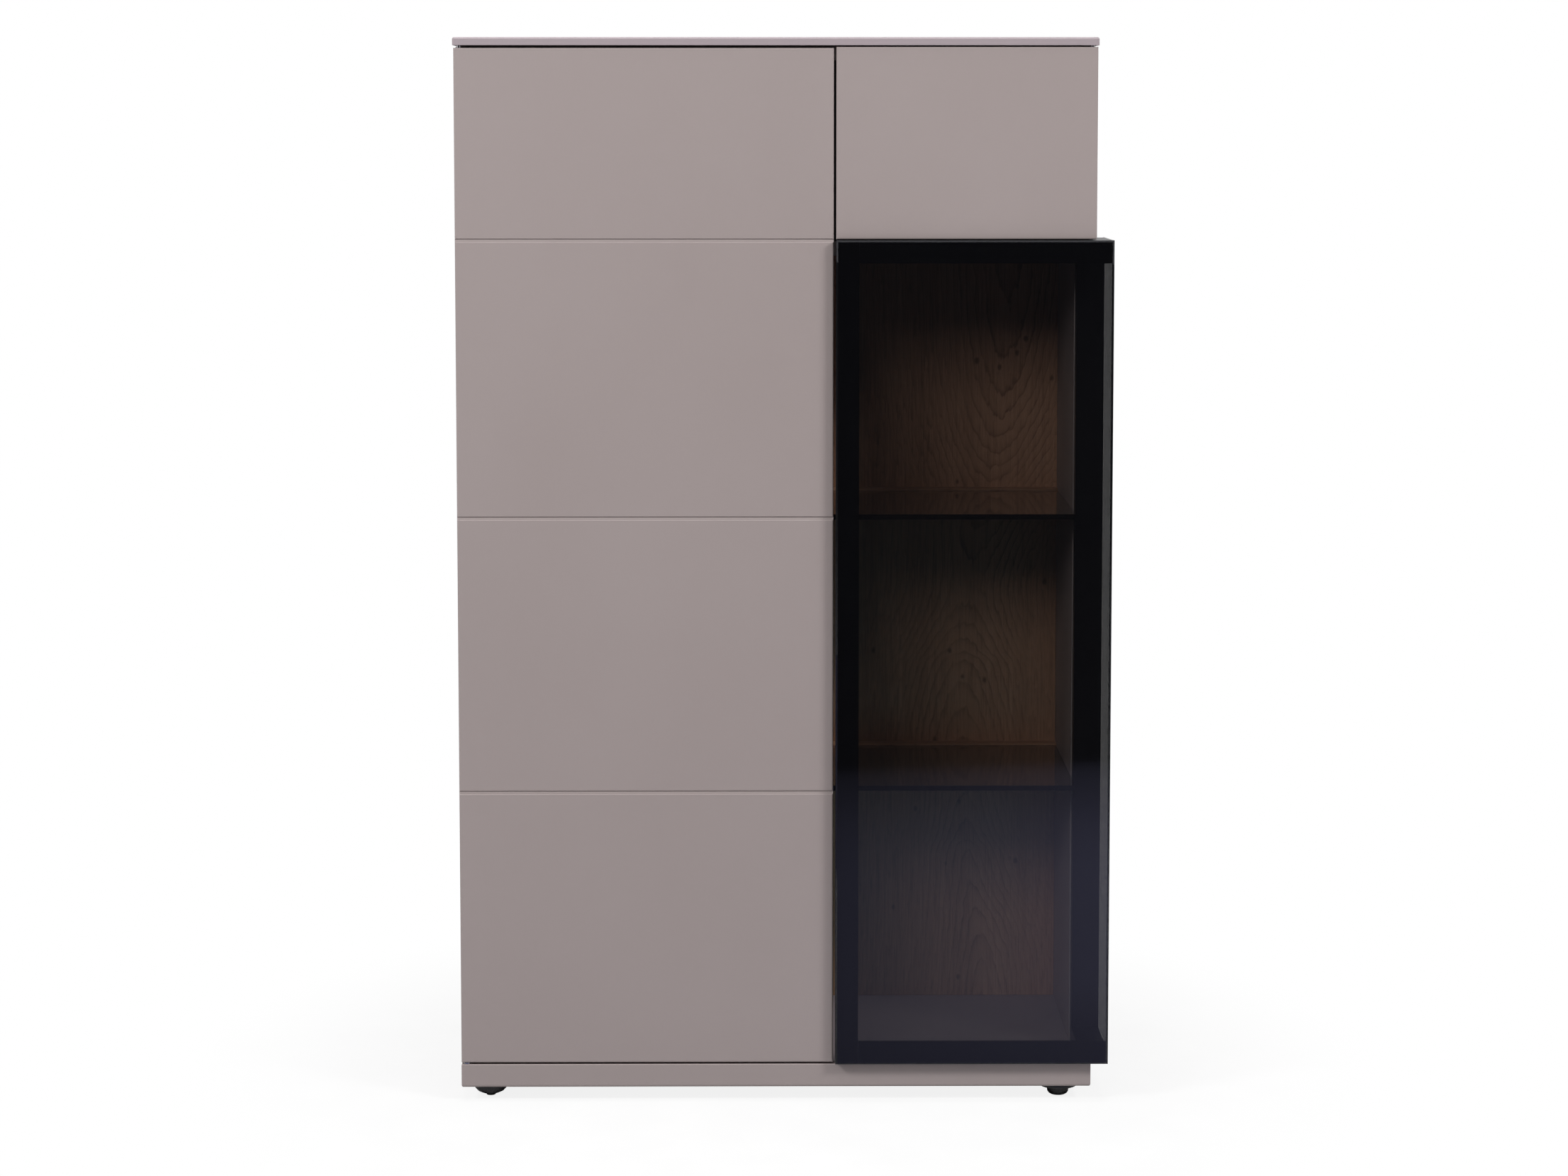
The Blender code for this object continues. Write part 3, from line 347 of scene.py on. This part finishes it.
def speckled(name, pair, roughness, spread, cells, metallic=0.0, shine=PLAIN_SHINE):
    material, tree, shader = start(name)
    tone = span(tree, noise(tree, place(tree), cells), NOISE_LOW, NOISE_HIGH)
    rough = span(tree, tone, 0.0, 1.0, roughness - spread, roughness + spread)
    shader.inputs["Metallic"].default_value = metallic
    shader.inputs["Specular IOR Level"].default_value = shine
    dress(tree, shader, blend(tree, tone, *pair), rough, tone, SPECKLE_HEIGHT)
    return material


def smoked_glass(name, alpha, shine, coat=0.0):
    material, tree, shader = start(name)
    shader.inputs["Base Color"].default_value = (*GLASS, 1.0)
    shader.inputs["Alpha"].default_value = alpha
    shader.inputs["IOR"].default_value = GLASS_INDEX
    shader.inputs["Specular IOR Level"].default_value = shine
    shader.inputs["Coat Weight"].default_value = coat
    shader.inputs["Specular Tint"].default_value = (*GLASS_SHEEN, 1.0)
    wear = noise(tree, place(tree), GLASS_CELLS)
    feed(tree, shader.inputs["Roughness"], span(tree, wear, NOISE_LOW, NOISE_HIGH, *GLASS_ROUGHNESS))
    return material


finishes = {
    "taupe_lacquer": lacquer("taupe_lacquer_finish"),
    "oak_veneer": oak("oak_veneer_finish"),
    "black_frame": speckled("black_frame_finish", (BLACK, BLACK_WORN), BLACK_ROUGHNESS, BLACK_SPREAD,
                            BLACK_CELLS, shine=BLACK_SHINE),
    "smoked_glass": smoked_glass("smoked_glass_finish", PANE_ALPHA, PANE_SHINE),
    "zinc_plated_steel": speckled("zinc_plated_steel_finish", (STEEL, STEEL_DULL), STEEL_ROUGHNESS,
                                  STEEL_SPREAD, STEEL_CELLS, metallic=1.0),
    "black_plastic": speckled("black_plastic_finish", (PLASTIC, PLASTIC_PALE), PLASTIC_ROUGHNESS,
                              PLASTIC_SPREAD, PLASTIC_CELLS),
}
rail_oak = oak("oak_rail_finish", level=True)
shelf_glass = smoked_glass("shelf_glass_finish", SHELF_ALPHA, SHELF_SHINE, SHELF_COAT)
own = {
    # The top plate's lacquer colour holds a painted bluish reflection
    "top_plate": lacquer("plate_lacquer_painted_reflection_finish", PLATE_LACQUER_PAINTED_REFLECTION),
    "glass_door_upright": speckled("upright_black_finish", (UPRIGHT, UPRIGHT_WORN), BLACK_ROUGHNESS,
                                   BLACK_SPREAD, BLACK_CELLS, shine=BLACK_SHINE),
    "glass_shelf_rail_lower": rail_oak,
    "glass_shelf_rail_upper": rail_oak,
    "glass_shelf_lower": shelf_glass,
    "glass_shelf_upper": shelf_glass,
}
for node in nodes.values():
    for slot in node.material_slots:
        by_slot = next(finish for key, finish in finishes.items() if slot.material.name.startswith(key))
        slot.material = own.get(node.name, by_slot)


# Studio
def plane(name, centre, size, turn=(0.0, 0.0, 0.0)):
    half_x, half_y = size[0] / 2, size[1] / 2
    corners = [(-half_x, -half_y, 0.0), (half_x, -half_y, 0.0), (half_x, half_y, 0.0), (-half_x, half_y, 0.0)]
    mesh = bpy.data.meshes.new(name)
    mesh.from_pydata(corners, [], [(0, 1, 2, 3)])
    thing = bpy.data.objects.new(name, mesh)
    thing.location, thing.rotation_euler = centre, turn
    bpy.context.scene.collection.objects.link(thing)
    return thing


def studio_floor():
    """Near the piece it keeps the shadow, further off it is white, and bounced light meets a mid grey."""
    floor = plane("studio_floor", (0.0, 0.0, FLOOR_LEVEL), FLOOR_SIZE)
    material = bpy.data.materials.new("studio_floor")
    material.use_nodes = True
    tree = material.node_tree
    tree.nodes.clear()
    where = place(tree)
    far = add(tree, "ShaderNodeVectorMath", {"operation": "LENGTH"}, {0: where}).outputs["Value"]
    grain = span(tree, noise(tree, where, FLOOR_CELLS), NOISE_LOW, NOISE_HIGH)
    matte, bounce = (add(tree, "ShaderNodeBsdfDiffuse", {}, {"Color": blend(tree, grain, *pair)})
                     for pair in (FLOOR_SEEN, FLOOR_BOUNCE))
    lift = add(tree, "ShaderNodeEmission", {}, {"Color": (*WHITE, 1.0), "Strength": FLOOR_LIFT})
    near_look = add(tree, "ShaderNodeAddShader", {}, {0: matte.outputs[0], 1: lift.outputs[0]})
    white = add(tree, "ShaderNodeEmission", {}, {"Color": (*WHITE, 1.0), "Strength": 1.0})
    fade = span(tree, far, FLOOR_FADE_START, FLOOR_FADE_END, 0.0, 1.0, True)
    seen = add(tree, "ShaderNodeMixShader", {}, {0: fade, 1: near_look.outputs[0], 2: white.outputs[0]})
    path = tree.nodes.new("ShaderNodeLightPath")
    both = add(tree, "ShaderNodeMixShader", {}, {0: path.outputs["Is Camera Ray"], 1: bounce.outputs[0],
                                                 2: seen.outputs[0]})
    out = tree.nodes.new("ShaderNodeOutputMaterial")
    tree.links.new(both.outputs[0], out.inputs["Surface"])
    floor.data.materials.append(material)


def reflection_card(name, centre, size, turn=(0.0, 0.0, 0.0)):
    """A card that only mirror-like surfaces see. It is dark until its material is given light."""
    card = plane(name, centre, size, turn)
    material, tree, shader = start(name)
    shader.inputs["Base Color"].default_value = (*NO_LIGHT, 1.0)
    shader.inputs["Specular IOR Level"].default_value = 0.0
    card.data.materials.append(material)
    card.visible_camera = card.visible_diffuse = card.visible_shadow = card.visible_transmission = False
    return tree, shader


def floor_glow():
    """The lit floor before the piece as its glass mirrors it: it fades with distance and to the left."""
    tree, shader = reflection_card("floor_glow_card", (0.0, -GLOW_SETBACK, CARD_LEVEL), GLOW_SIZE)
    parts = add(tree, "ShaderNodeSeparateXYZ", {}, {0: place(tree)})
    across = parts.outputs["X"]
    slanted = calc(tree, "ADD", parts.outputs["Y"], calc(tree, "MULTIPLY", across, GLOW_SLANT))
    away = calc(tree, "SUBTRACT", GLOW_SETBACK + GLOW_GAP, slanted)
    to_right = calc(tree, "MULTIPLY", span(tree, across, 0.0, GLOW_RIGHT_END, 0.0, GLOW_TO_RIGHT),
                    span(tree, away, GLOW_NEAR, GLOW_FAR, GLOW_NEAR_SHARE, 1.0, True))
    glow = calc(tree, "MULTIPLY", curve(tree, away, GLOW_AWAY, 0.0, 1.0),
                calc(tree, "ADD", to_right, GLOW_AT_LEFT))
    shader.inputs["Emission Color"].default_value = (*GLOW, 1.0)
    feed(tree, shader.inputs["Emission Strength"], glow)


def studio_world():
    """White to the camera, to mirrors and through glass, and a weak even light to everything else."""
    world = bpy.data.worlds.new("studio_world")
    bpy.context.scene.world = world
    world.use_nodes = True
    tree = world.node_tree
    background = tree.nodes["Background"]
    background.inputs["Color"].default_value = (*WHITE, 1.0)
    path = tree.nodes.new("ShaderNodeLightPath")
    seen = calc(tree, "MAXIMUM", path.outputs["Is Camera Ray"],
                calc(tree, "MAXIMUM", path.outputs["Is Glossy Ray"], path.outputs["Is Transmission Ray"]))
    feed(tree, background.inputs["Strength"], span(tree, seen, 0.0, 1.0, AMBIENT, 1.0))


def lamp(name, spot, aim, size, strength, colour):
    """A soft lamp. The light it gives a surface that faces it at the aim is strength times pi."""
    away = math.dist(spot, aim)
    light = bpy.data.lights.new(name, "AREA")
    light.shape, light.size, light.size_y, light.color = "RECTANGLE", *size, colour
    light.energy = strength * math.pi * away * away * math.pi
    thing = bpy.data.objects.new(name, light)
    thing.location = spot
    direction = [a - s for a, s in zip(aim, spot)]
    yaw = math.atan2(direction[1], direction[0]) - math.pi / 2
    pitch = math.atan2(direction[2], math.hypot(direction[0], direction[1])) + math.pi / 2
    thing.rotation_euler = (pitch, 0.0, yaw)
    thing.visible_glossy = False
    thing.visible_camera = False
    bpy.context.scene.collection.objects.link(thing)
    return thing


def gather(name, names, state="INCLUDE"):
    group = bpy.data.collections.new(name)
    for key in names:
        group.objects.link(nodes[key])
    for entry in group.collection_objects:
        entry.light_linking.link_state = state
    return group


def light_vitrine(lamps):
    """The vitrine's inside is lit as if through clear glass, in part by lamps that light nothing else."""
    panes = gather("lamp_passes", PANES, "EXCLUDE")
    inside = gather("vitrine_inside", INSIDE)
    base = gather("vitrine_floor", ("base_plate",))
    for name in ("front_lamp", "vitrine_lamp", "vitrine_fill", "vitrine_right_lamp", "vitrine_floor_lamp"):
        lamps[name].light_linking.blocker_collection = panes
    for name in ("vitrine_lamp", "vitrine_fill", "vitrine_right_lamp"):
        lamps[name].light_linking.receiver_collection = inside
    lamps["vitrine_floor_lamp"].light_linking.receiver_collection = base
    lamps["right_lamp"].light_linking.receiver_collection = gather("all_but_inside", INSIDE, "EXCLUDE")
    lamps["vitrine_fill"].data.spread = VITRINE_FILL_SPREAD


studio_world()
studio_floor()
floor_glow()
reflection_card("dark_floor_card", DARK_FLOOR_PLACE, DARK_FLOOR_SIZE)
reflection_card("dark_front_card", DARK_FRONT_PLACE, DARK_FRONT_SIZE, UPRIGHT_TURN)
light_vitrine({name: lamp(name, *values) for name, values in LAMPS.items()})

# Camera
camera = bpy.data.objects.new("camera", bpy.data.cameras.new("camera"))
bpy.context.scene.collection.objects.link(camera)
camera.location = CAMERA_PLACE
camera.rotation_euler = (math.pi / 2 - CAMERA_DOWN, 0.0, CAMERA_YAW)
camera.data.sensor_width = CAMERA_SENSOR
camera.data.lens = CAMERA_LENS
camera.data.shift_y = CAMERA_SHIFT
bpy.context.scene.camera = camera
bpy.context.scene.view_settings.view_transform = "Standard"
